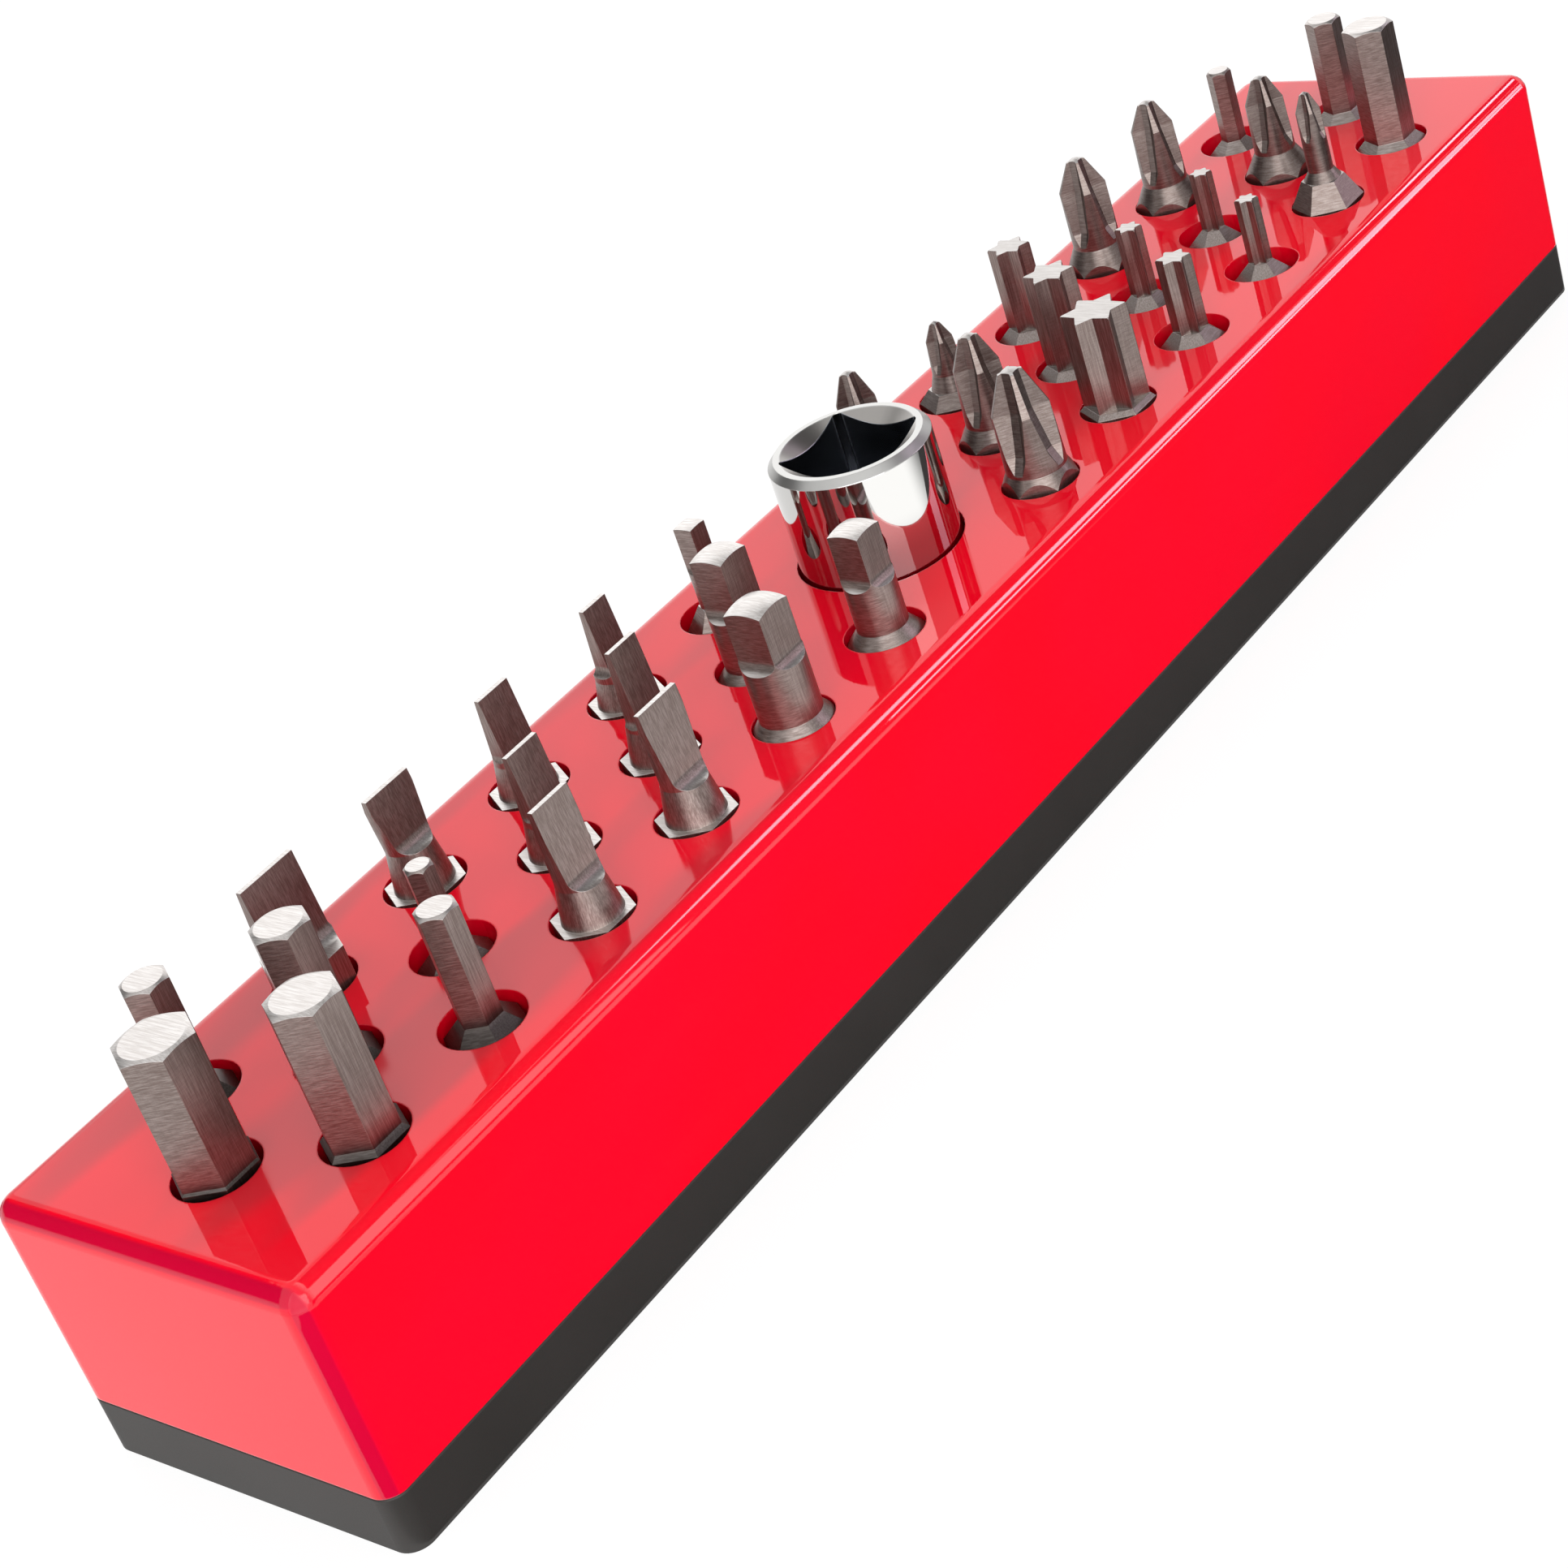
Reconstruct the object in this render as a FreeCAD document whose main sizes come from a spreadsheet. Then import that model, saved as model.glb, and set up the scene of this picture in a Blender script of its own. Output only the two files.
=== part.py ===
import FreeCAD, Part
import math
import os
import re
import Sketcher

# A bench holder for screwdriver bits. A moulded plastic block on a base plate holds 36 hex-shank bits in
# three rows and a square-drive adapter in the middle. Three magnet strips lie under the holes.
# The origin is the middle of the underside. X runs along the block, -Y is the front and Z is up.
# Each bit stands on the floor of its hole, so its own zero height is that floor.

os.makedirs("parts", exist_ok=True)
document = FreeCAD.newDocument("bit_holder")
sheet = document.addObject("Spreadsheet::Sheet", "sizes")
aliases = set()


def add_size(alias, value, meaning):
    """One cell of the sheet, named by its alias."""
    row = len(aliases) + 1
    sheet.set("A%d" % row, meaning)
    sheet.set("B%d" % row, repr(value))
    sheet.setAlias("B%d" % row, alias)
    aliases.add(alias)


# Driving dimensions, in millimetres unless the meaning says otherwise
SIZES = [
    ("block_length", 198.0, "length over both ends"),
    ("block_width", 35.2, "width over the long faces"),
    ("block_height", 25.5, "height from the bench to the top face"),
    ("corner_radius", 2.0, "radius of the four upright corners"),
    ("top_radius", 1.8, "rounding of the top edge"),
    ("base_thickness", 5.55, "thickness of the base plate"),
    ("seam_chamfer", 0.2, "bevel of the base plate's top edge, which draws the joint line"),
    ("hole_radius", 3.73, "bit hole"),
    ("hole_pitch", 13.94, "distance between holes of one row"),
    ("row_spacing", 9.526, "distance between rows"),
    ("inner_place", 12.877, "first hole of an outer row, from the middle"),
    ("magnet_length", 183.0, "length of a magnet strip"),
    ("magnet_width", 6.0, "width of a magnet strip"),
    ("magnet_thickness", 3.0, "thickness of a magnet strip"),
    ("magnet_clearance", 0.1, "gap beside a magnet strip"),
    ("magnet_end_gap", 0.5, "gap past each end of a magnet strip"),
    ("tongue_height", 3.75, "height of the base plate's tongues, which carry the magnets"),
    ("web_thickness", 1.0, "plastic between the hole floors and the magnets"),
    ("adapter_radius", 7.65, "outside of the drive adapter"),
    ("adapter_clearance", 0.3, "gap round the drive adapter"),
    ("adapter_length", 23.12, "length of the drive adapter"),
    ("adapter_chamfer", 0.65, "bevel of the adapter's outer edges"),
    ("drive_flats", 9.53, "across the flats of the square socket"),
    ("drive_corner", 0.65, "corner radius of the square socket"),
    ("drive_depth", 10.5, "depth of the square socket"),
    ("lead_radius", 6.4, "mouth of the cone that leads into the square socket"),
    ("lead_angle", 58.0, "half angle of that cone, in degrees"),
    ("bit_socket_flats", 6.4, "across the flats of the adapter's lower hex socket"),
    ("bit_socket_depth", 11.0, "depth of the adapter's lower hex socket"),
    ("shank_flats", 6.35, "across the flats of every bit's shank"),
    ("foot_rise", 0.45, "hex and star bits: top of the shoulder above the block"),
    ("foot_slope", 0.9, "hex and star bits: shoulder height for each millimetre of its width"),
    ("end_share", 0.77, "hex bits: end face radius as a share of the corner radius"),
    ("end_chamfer", 0.3, "hex bits: height of the turned end chamfer"),
    ("star_valley", 0.62, "star bits: valley radius as a share of the point radius"),
    ("star_chamfer", 0.15, "star bits: height and width of the turned end chamfer"),
    ("blade_tip", 0.25, "slotted bits: half thickness at the tip"),
    ("blade_root", 0.75, "slotted bits: half thickness where the cheeks run out"),
    ("blade_flare", 1.06, "slotted bits: radius at the tip as a share of half the blade width"),
    ("cheek_radius", 1.25, "slotted bits: run-out radius of the ground cheeks"),
    ("slot_base", 2.7, "slotted bits: neck radius at the shank"),
    ("slot_neck", 2.08, "slotted bits: smallest neck radius"),
    ("dome_radius", 6.5, "square bits: radius of the domed end"),
    ("scoop_radius", 1.1, "square bits: run-out radius of the flats"),
    ("collar_radius", 3.6, "square bits: largest radius of the turned collar"),
    ("collar_slope", 1.2, "square bits: height of the collar's cone for each millimetre of its width"),
    ("collar_depth", 2.0, "square bits: how far the collar reaches below the block's top face"),
    ("shoulder_slope", 1.36, "small square bit: shoulder height for each millimetre of its width"),
    ("tip_point", 0.3, "cross bits: rise of the end cone"),
    ("flute_share", 0.39, "cross bits: half width of the flute root as a share of the tip radius"),
    ("root_share_tip", 0.61, "cross bits: flute root at the tip as a share of the tip radius"),
    ("root_share_wing", 0.37, "cross bits: flute root at the widest wing as a share of the wing radius"),
    ("root_share_end", 0.69, "cross bits: flute root above the ramp as a share of the neck radius"),
    ("ramp_angle", 60.0, "cross bits: slope of the ramp that ends a flute, in degrees"),
    ("overcut", 1.0, "how far a cutting outline reaches past the material"),
]

# Sizes that follow from the driving ones, by name
DERIVED = {
    "magnet_bottom": "base_thickness + tongue_height",
    "magnet_top": "magnet_bottom + magnet_thickness",
    "hole_floor": "magnet_top + web_thickness",
    "hole_depth": "block_height - hole_floor",
    "shank_corner": "shank_flats / sqrt(3)",
    "foot_top": "hole_depth + foot_rise",
}

# The bits by row and place along the row, with the sizes that differ from bit to bit.
# Heights are above the block's top face.
HEX_SIZES = ("flats", "tall")
HEX_BITS = {
    ("front", 1): (5.5, 13.2),
    ("front", 2): (3.3, 10.86),
    ("front", 12): (4.6, 12.8),
    ("middle", 1): (6.0, 12.7),
    ("middle", 2): (4.5, 12.86),
    ("middle", 3): (2.3, 8.26),
    ("middle", 12): (3.3, 10.7),
    ("back", 1): (3.75, 10.96),
    ("back", 12): (2.3, 8.3),
}
SLOTTED_SIZES = ("blade", "tall", "root_tall", "neck_tall")
SLOTTED_BITS = {
    ("front", 3): (4.4, 11.17, 4.5, 3.4),
    ("front", 4): (5.0, 11.1, 4.5, 3.4),
    ("middle", 4): (3.9, 10.15, 4.4, 3.2),
    ("middle", 5): (3.56, 11.07, 4.4, 3.2),
    ("back", 3): (5.2, 9.72, 5.1, 3.95),
    ("back", 4): (3.8, 9.9, 4.4, 3.2),
    ("back", 5): (3.1, 9.76, 4.2, 2.6),
}
SQUARE_SIZES = ("flats", "tall", "root_tall", "neck", "collar_tall")
SQUARE_BITS = {
    ("front", 5): (3.92, 11.75, 7.0, 2.85, 0.68),
    ("front", 6): (3.27, 10.53, 6.13, 2.37, 0.68),
    ("middle", 6): (3.56, 11.65, 6.6, 2.6, 0.4),
}
SMALL_SQUARE_BITS = {("back", 6): (2.05, 9.38, 5.57, 1.44, 1.1)}
STAR_SIZES = ("point", "tall")
STAR_BITS = {
    ("front", 8): (3.18, 9.95),
    ("front", 9): (1.755, 8.11),
    ("front", 10): (1.2, 7.22),
    ("middle", 8): (2.53, 10.04),
    ("middle", 9): (1.37, 7.63),
    ("middle", 10): (1.17, 6.64),
    ("back", 9): (2.15, 9.1),
}
CROSS_SIZES = ("tip", "tall", "wing", "wing_tall", "flute_tall", "neck", "neck_tall")
CROSS_BITS = {
    ("front", 7): (1.15, 11.2, 2.75, 7.35, 1.8, 2.92, 1.5),
    ("middle", 7): (0.93, 10.65, 2.25, 7.65, 2.2, 2.55, 1.9),
    ("back", 7): (0.78, 10.2, 1.92, 7.36, 2.9, 2.1, 2.5),
    ("back", 10): (0.93, 11.5, 2.42, 8.5, 2.8, 2.45, 2.4),
    ("back", 11): (0.88, 11.1, 2.2, 8.5, 2.8, 2.35, 2.4),
    ("middle", 11): (0.83, 10.35, 2.0, 7.85, 2.9, 2.15, 2.5),
}
SMALL_CROSS_SIZES = CROSS_SIZES + ("ring", "ring_tall")
SMALL_CROSS_BITS = {
    ("back", 8): (0.52, 7.97, 1.33, 6.33, 3.1, 1.6, 2.9, 2.45, 1.31),
    ("front", 11): (0.5, 11.67, 1.25, 9.9, 6.85, 1.3, 3.55, 2.2, 2.6),
}
GROUND_FROM_SHANK = {("back", 2): (6.06, 11.06, 4.2)}
GROUND_SIZES = ("blade", "tall", "root_tall")

for alias, value, meaning in SIZES:
    add_size(alias, value, meaning)
for names, bits in (
    (HEX_SIZES, HEX_BITS),
    (SLOTTED_SIZES, SLOTTED_BITS),
    (GROUND_SIZES, GROUND_FROM_SHANK),
    (SQUARE_SIZES, SQUARE_BITS),
    (SQUARE_SIZES, SMALL_SQUARE_BITS),
    (STAR_SIZES, STAR_BITS),
    (CROSS_SIZES, CROSS_BITS),
    (SMALL_CROSS_SIZES, SMALL_CROSS_BITS),
):
    for (row, place), values in bits.items():
        for name, value in zip(names, values):
            add_size("%s_%d_%s" % (row, place, name), value, "bit %d of the %s row: %s" % (place, row, name))
document.recompute()

# How the sketcher numbers the ends and the centre of an edge, and the axis that starts at the origin
START, END, CENTRE = 1, 2, 3
ORIGIN_AXIS = -1

FULL_TURN = 360
HALF_TURN = 180
HEX_SIDES = 6
STAR_POINTS = 6
CROSS_FLUTES = 4
SQUARE_SIDES = 4

# Places along a row run from 1 to 12, with six on each side of the adapter
SIDE_COUNT = 6
MIDDLE_ROW_SHIFT = 0.5
ROWS = ("front", "middle", "back")
WORD = re.compile(r"[a-z_]+[a-z_0-9]*")


def cell(match):
    """One word of an expression, as a cell of the sheet where it names a size."""
    word = match.group()
    if word in DERIVED:
        return "(%s)" % cells(DERIVED[word])
    return "sizes." + word if word in aliases else word


def cells(expression):
    """The expression with its sizes written as cells of the sheet."""
    return WORD.sub(cell, expression)


def row_y(row):
    """How far the row lies behind the middle, as an expression."""
    return {"front": "-row_spacing", "middle": "0", "back": "row_spacing"}[row]


def place_x(row, place):
    """How far along the block a hole lies, as an expression. The middle row is half a pitch further out."""
    steps = SIDE_COUNT - place if place <= SIDE_COUNT else place - SIDE_COUNT - 1
    sign = "-" if place <= SIDE_COUNT else ""
    shift = MIDDLE_ROW_SHIFT if row == "middle" else 0.0
    return "%s(inner_place + %g * hole_pitch)" % (sign, steps + shift)


def number(expression):
    """The present value of an expression."""
    return float(sheet.evalExpression(cells(expression)))


def bind(target, path, expression):
    """Ties one property to the sheet."""
    target.setExpression(path, cells(expression))


def origin_feature(body, role):
    """One of the body's own origin planes or axes."""
    return next(feature for feature in body.Origin.OriginFeatures if feature.Role == role)


def new_body(label):
    """An empty body with its label."""
    body = document.addObject("PartDesign::Body", label)
    body.Label = label
    return body


def new_sketch(body, plane, offset="0"):
    """An empty sketch on one of the body's origin planes, moved along the plane's normal."""
    sketch = body.newObject("Sketcher::SketchObject", "outline")
    sketch.AttachmentSupport = (origin_feature(body, plane), [""])
    sketch.MapMode = "FlatFace"
    bind(sketch, ".AttachmentOffset.Base.z", offset)
    return sketch


def fix_point(sketch, edge, end, x, y):
    """Holds one end of an edge at a place given by two expressions."""
    for kind, expression in (("DistanceX", x), ("DistanceY", y)):
        constraint = Sketcher.Constraint(kind, ORIGIN_AXIS, START, edge, end, number(expression))
        bind(sketch, "Constraints[%d]" % sketch.addConstraint(constraint), expression)


def arc_between(first, second, radius, turn):
    """An arc from first to second. Turn is 1 with its centre on the left of that way and -1 on the right."""
    chord = second - first
    height = math.sqrt(max(radius**2 - (chord.Length / 2) ** 2, 0.0))
    left = FreeCAD.Vector(-chord.y, chord.x, 0).normalize()
    centre = (first + second) / 2 + left * height * turn
    start, end = (first, second) if turn > 0 else (second, first)
    angles = [math.atan2(point.y - centre.y, point.x - centre.x) for point in (start, end)]
    circle = Part.Circle(centre, FreeCAD.Vector(0, 0, 1), radius)
    return Part.ArcOfCircle(circle, angles[0], angles[1])


def add_loop(sketch, points, arcs=None):
    """A closed outline through the points, each a pair of expressions. arcs gives, by the number of the point
    where a side starts, that side's radius and turn."""
    arcs = arcs or {}
    places = [FreeCAD.Vector(number(x), number(y), 0) for x, y in points]
    sides = []
    for index, first in enumerate(places):
        second = places[(index + 1) % len(places)]
        if index in arcs:
            radius, turn = arcs[index]
            edge = sketch.addGeometry(arc_between(first, second, number(radius), turn), False)
            start_end = (START, END) if turn > 0 else (END, START)
            held = sketch.addConstraint(Sketcher.Constraint("Radius", edge, number(radius)))
            bind(sketch, "Constraints[%d]" % held, radius)
        else:
            edge = sketch.addGeometry(Part.LineSegment(first, second), False)
            start_end = (START, END)
        sides.append((edge, start_end))
    for index, (x, y) in enumerate(points):
        edge, (start, end) = sides[index]
        before, (before_start, before_end) = sides[index - 1]
        sketch.addConstraint(Sketcher.Constraint("Coincident", before, before_end, edge, start))
        fix_point(sketch, edge, start, x, y)


def add_circle(sketch, x, y, radius):
    """A circle with its centre and radius given by expressions."""
    centre = FreeCAD.Vector(number(x), number(y), 0)
    edge = sketch.addGeometry(Part.Circle(centre, FreeCAD.Vector(0, 0, 1), number(radius)), False)
    fix_point(sketch, edge, CENTRE, x, y)
    held = sketch.addConstraint(Sketcher.Constraint("Radius", edge, number(radius)))
    bind(sketch, "Constraints[%d]" % held, radius)


def loop_sketch(body, plane, points, arcs=None, offset="0"):
    """A sketch with one closed outline."""
    sketch = new_sketch(body, plane, offset)
    add_loop(sketch, points, arcs)
    return sketch


def rectangle(half_length, half_width, y="0"):
    """The corners of a rectangle round a point on the Y axis."""
    return [
        ("-(%s)" % half_length, "%s - (%s)" % (y, half_width)),
        (half_length, "%s - (%s)" % (y, half_width)),
        (half_length, "%s + (%s)" % (y, half_width)),
        ("-(%s)" % half_length, "%s + (%s)" % (y, half_width)),
    ]


def polygon(corner_radius, count=HEX_SIDES, start=0.0):
    """The corners of a regular polygon. The first one lies start degrees round from the X axis."""
    angles = [start + index * FULL_TURN / count for index in range(count)]
    return [("(%s) * cos(%g)" % (corner_radius, a), "(%s) * sin(%g)" % (corner_radius, a)) for a in angles]


def extrude(body, kind, sketch, length, upwards=True):
    """A pad or pocket of the sketch. A pad grows along the sketch's normal and a pocket cuts against it,
    so each is turned round where it has to go the other way."""
    feature = body.newObject("PartDesign::" + kind, kind.lower())
    feature.Profile = sketch
    bind(feature, "Length", length)
    feature.Reversed = upwards == (kind == "Pocket")
    return feature


def turn(body, kind, sketch):
    """A full revolution or groove of the sketch round the body's upright axis."""
    feature = body.newObject("PartDesign::" + kind, kind.lower())
    feature.Profile = sketch
    feature.ReferenceAxis = (origin_feature(body, "Z_Axis"), [""])
    feature.Angle = FULL_TURN
    return feature


def ring_pattern(body, feature, count):
    """The feature repeated evenly round the body's upright axis."""
    pattern = body.newObject("PartDesign::PolarPattern", "pattern")
    pattern.Originals = [feature]
    pattern.Axis = (origin_feature(body, "Z_Axis"), [""])
    pattern.Angle = FULL_TURN
    pattern.Occurrences = count
    body.Tip = pattern
    return pattern


def edges_where(feature, test):
    """The names of the feature's edges whose two ends and middle pass the test."""
    names = []
    for index, edge in enumerate(feature.Shape.Edges):
        middle = edge.valueAt((edge.FirstParameter + edge.LastParameter) / 2)
        if all(test(point) for point in [vertex.Point for vertex in edge.Vertexes] + [middle]):
            names.append("Edge%d" % (index + 1))
    return names


def dress(body, kind, base, names, path, expression):
    """A fillet or chamfer of named edges."""
    feature = body.newObject("PartDesign::" + kind, kind.lower())
    feature.Base = (base, names)
    bind(feature, path, expression)
    document.recompute()
    return feature


def near(value, expression):
    """Whether a coordinate has the value of the expression."""
    return abs(value - number(expression)) < 1e-4


# The red block

def rounded_plate(body, bottom, thickness):
    """A plate over the block's whole outline with its upright corners rounded."""
    sketch = loop_sketch(body, "XY_Plane", rectangle("block_length / 2", "block_width / 2"), offset=bottom)
    plate = extrude(body, "Pad", sketch, thickness)
    document.recompute()
    corners = edges_where(
        plate, lambda point: near(abs(point.x), "block_length / 2") and near(abs(point.y), "block_width / 2")
    )
    return dress(body, "Fillet", plate, corners, "Radius", "corner_radius")


def holder_body():
    """The moulded block with its holes, and the channels for the magnets in its underside."""
    body = new_body("holder_body")
    plate = rounded_plate(body, "base_thickness", "block_height - base_thickness")
    rim = edges_where(plate, lambda point: near(point.z, "block_height"))
    dress(body, "Fillet", plate, rim, "Radius", "top_radius")

    holes = new_sketch(body, "XY_Plane", "block_height")
    for row in ROWS:
        for place in range(1, 2 * SIDE_COUNT + 1):
            add_circle(holes, place_x(row, place), row_y(row), "hole_radius")
    add_circle(holes, "0", "0", "adapter_radius + adapter_clearance")
    extrude(body, "Pocket", holes, "hole_depth", upwards=False)

    channels = new_sketch(body, "XY_Plane", "base_thickness")
    for row in ROWS:
        half_length = "magnet_length / 2 + magnet_end_gap"
        half_width = "magnet_width / 2 + magnet_clearance"
        add_loop(channels, rectangle(half_length, half_width, row_y(row)))
    extrude(body, "Pocket", channels, "magnet_top - base_thickness")
    return body


# The base plate and magnets

def base_plate():
    """The dark plate that closes the underside, with a tongue that presses each magnet up."""
    body = new_body("base_plate")
    plate = rounded_plate(body, "0", "base_thickness")
    seam = edges_where(plate, lambda point: near(point.z, "base_thickness"))
    dress(body, "Chamfer", plate, seam, "Size", "seam_chamfer")
    tongues = new_sketch(body, "XY_Plane", "base_thickness")
    for row in ROWS:
        add_loop(tongues, rectangle("magnet_length / 2", "magnet_width / 2", row_y(row)))
    extrude(body, "Pad", tongues, "tongue_height")
    return body


def magnet_strip(row):
    """One of the strips that hold the bits down."""
    body = new_body("magnet_strip_" + row)
    bind(body, ".Placement.Base.y", row_y(row))
    bind(body, ".Placement.Base.z", "magnet_bottom")
    sketch = loop_sketch(body, "XY_Plane", rectangle("magnet_length / 2", "magnet_width / 2"))
    extrude(body, "Pad", sketch, "magnet_thickness")
    return body


# The square-drive adapter

def hex_corner(flats):
    """The corner radius of a hexagon, as an expression."""
    return "(%s) / sqrt(3)" % flats


def hex_inner(corner):
    """How far a hexagon's flats lie from its middle, as an expression."""
    return "(%s) * sqrt(3) / 2" % corner


def drive_adapter():
    """A round adapter with a square socket above and a hex socket below."""
    body = new_body("drive_adapter")
    bind(body, ".Placement.Base.z", "hole_floor")
    barrel = new_sketch(body, "XY_Plane")
    add_circle(barrel, "0", "0", "adapter_radius")
    pad = extrude(body, "Pad", barrel, "adapter_length")
    document.recompute()
    rims = edges_where(pad, lambda point: near(math.hypot(point.x, point.y), "adapter_radius"))
    rims = [name for name in rims if pad.Shape.getElement(name).isClosed()]
    dress(body, "Chamfer", pad, rims, "Size", "adapter_chamfer")

    outline = rectangle("drive_flats / 2", "drive_flats / 2")
    square = loop_sketch(body, "XY_Plane", outline, offset="adapter_length")
    socket = extrude(body, "Pocket", square, "drive_depth", upwards=False)
    document.recompute()
    corners = edges_where(
        socket, lambda point: near(abs(point.x), "drive_flats / 2") and near(abs(point.y), "drive_flats / 2")
    )
    dress(body, "Fillet", socket, corners, "Radius", "drive_corner")
    cone = loop_sketch(
        body,
        "XZ_Plane",
        [
            ("0", "adapter_length"),
            ("0", "adapter_length - lead_radius / tan(lead_angle)"),
            ("lead_radius", "adapter_length"),
        ],
    )
    turn(body, "Groove", cone)
    hexagon = loop_sketch(body, "XY_Plane", polygon(hex_corner("bit_socket_flats")))
    extrude(body, "Pocket", hexagon, "bit_socket_depth")
    return body


# Stretches that the bits share

def new_bit(family, row, place):
    """An empty body that stands on the floor of its hole."""
    body = new_body("%s_bit_%s_%d" % (family, row, place))
    bind(body, ".Placement.Base.x", place_x(row, place))
    bind(body, ".Placement.Base.y", row_y(row))
    bind(body, ".Placement.Base.z", "hole_floor")
    return body


def prism(body, points, bottom, top):
    """An upright prism between two heights."""
    sketch = loop_sketch(body, "XY_Plane", points, offset=bottom)
    return extrude(body, "Pad", sketch, "%s - (%s)" % (top, bottom))


def cut_through(body, sketch):
    """A pocket that runs right across the bit on both sides of the sketch."""
    pocket = body.newObject("PartDesign::Pocket", "pocket")
    pocket.Profile = sketch
    pocket.SideType = "Symmetric"
    bind(pocket, "Length", "2 * (shank_corner + overcut)")
    return pocket


def tapered_shank(body, top_corner, bottom, top):
    """The hex shank, with a six-sided shoulder milled on it between two heights. It narrows to the given
    corner radius at the top."""
    prism(body, polygon("shank_corner"), "0", top)
    inner = hex_inner(top_corner)
    run = "(shank_flats / 2 - %s)" % inner
    sketch = loop_sketch(
        body,
        "YZ_Plane",
        [
            (inner, top),
            ("shank_flats / 2 + overcut", "%s - overcut * (%s - (%s)) / %s" % (bottom, top, bottom, run)),
            ("shank_flats / 2 + overcut", top + " + overcut"),
            (inner, top + " + overcut"),
        ],
    )
    ring_pattern(body, cut_through(body, sketch), HEX_SIDES)


def turned_end(body, outer, inner, top, drop):
    """A chamfer turned on the end of the bit, from the end face's radius out to the corners."""
    beyond = "(%s + (%s) - (%s))" % (outer, outer, inner)
    sketch = loop_sketch(
        body,
        "XZ_Plane",
        [
            (inner, top),
            (beyond, "%s - 2 * (%s)" % (top, drop)),
            (beyond, top + " + overcut"),
            (inner, top + " + overcut"),
        ],
    )
    turn(body, "Groove", sketch)


def ground_flats(body, plane, tip, root, root_height, top, radius, count):
    """Flats ground on the bit from its end down to root_height, each with a round run-out. tip and root are
    their distances from the axis at the end and at root_height."""
    beyond = "(shank_corner + %s + overcut)" % radius
    run_out = "%s + %s" % (root, radius)
    sketch = loop_sketch(
        body,
        plane,
        [
            (tip, top),
            (root, root_height),
            (run_out, "%s - %s" % (root_height, radius)),
            (beyond, "%s - %s" % (root_height, radius)),
            (beyond, top + " + overcut"),
            (tip, top + " + overcut"),
        ],
        {1: (radius, 1)},
    )
    ring_pattern(body, cut_through(body, sketch), count)


# The five families of bits

def foot_bottom(corner):
    """Where the shoulder of a hex or star bit starts on the shank's corners."""
    return "foot_top - foot_slope * (shank_corner - %s)" % corner


def hex_bit(row, place):
    """A hex key bit."""
    body = new_bit("hex", row, place)
    size = "%s_%d_" % (row, place)
    corner = hex_corner(size + "flats")
    end = "hole_depth + %stall" % size
    tapered_shank(body, corner, foot_bottom(corner), "foot_top")
    prism(body, polygon(corner), "foot_top", end)
    turned_end(body, corner, "end_share * " + corner, end, "end_chamfer")
    return body


def star_bit(row, place):
    """A six-pointed star bit."""
    body = new_bit("star", row, place)
    size = "%s_%d_" % (row, place)
    point = size + "point"
    end = "hole_depth + %stall" % size
    tapered_shank(body, point, foot_bottom(point), "foot_top")
    points = polygon(point, STAR_POINTS)
    valleys = polygon("star_valley * " + point, STAR_POINTS, HALF_TURN / STAR_POINTS)
    outline = [corner for pair in zip(points, valleys) for corner in pair]
    prism(body, outline, "foot_top", end)
    turned_end(body, point, point + " - star_chamfer", end, "star_chamfer")
    return body


def slotted_bit(row, place):
    """A slotted bit: a turned neck, flared where the blade is wide, with hollow-ground cheeks and sides."""
    body = new_bit("slotted", row, place)
    size = "%s_%d_" % (row, place)
    end = "hole_depth + %stall" % size
    root = "hole_depth + %sroot_tall" % size
    half_blade = "%sblade / 2" % size
    prism(body, polygon("shank_corner"), "0", "hole_depth")
    neck = loop_sketch(
        body,
        "XZ_Plane",
        [
            ("0", "hole_depth - overcut"),
            ("slot_base", "hole_depth - overcut"),
            ("slot_base", "hole_depth"),
            ("slot_neck", "hole_depth + %sneck_tall" % size),
            ("max(slot_neck; blade_flare * %s)" % half_blade, end),
            ("0", end),
        ],
    )
    turn(body, "Revolution", neck)
    ground_flats(body, "YZ_Plane", "blade_tip", "blade_root", root, end, "cheek_radius", 2)
    ground_flats(body, "XZ_Plane", half_blade, half_blade, root, end, "cheek_radius", 2)
    return body


def ground_slotted_bit(row, place):
    """A wide slotted bit, ground straight from the hex shank."""
    body = new_bit("slotted", row, place)
    size = "%s_%d_" % (row, place)
    end = "hole_depth + %stall" % size
    root = "hole_depth + %sroot_tall" % size
    half_blade = "%sblade / 2" % size
    prism(body, polygon("shank_corner"), "0", end)
    ground_flats(body, "YZ_Plane", "blade_tip", "blade_root", root, end, "cheek_radius", 2)
    ground_flats(body, "XZ_Plane", half_blade, half_blade, root, end, "cheek_radius", 2)
    return body


def square_end(body, size, base):
    """A round neck with four ground flats and a domed end. base is the turned profile below the neck, as
    points from the axis outwards and up."""
    end = "hole_depth + %stall" % size
    neck = size + "neck"
    outline = base + [
        (neck, "%s - dome_radius + sqrt(dome_radius^2 - %s^2)" % (end, neck)),
        ("0", end),
    ]
    profile = loop_sketch(body, "XZ_Plane", outline, {len(base): ("dome_radius", 1)})
    turn(body, "Revolution", profile)
    half_flats = "%sflats / 2" % size
    root = "hole_depth + %sroot_tall" % size
    ground_flats(body, "XZ_Plane", half_flats, half_flats, root, end, "scoop_radius", SQUARE_SIDES)


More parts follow.
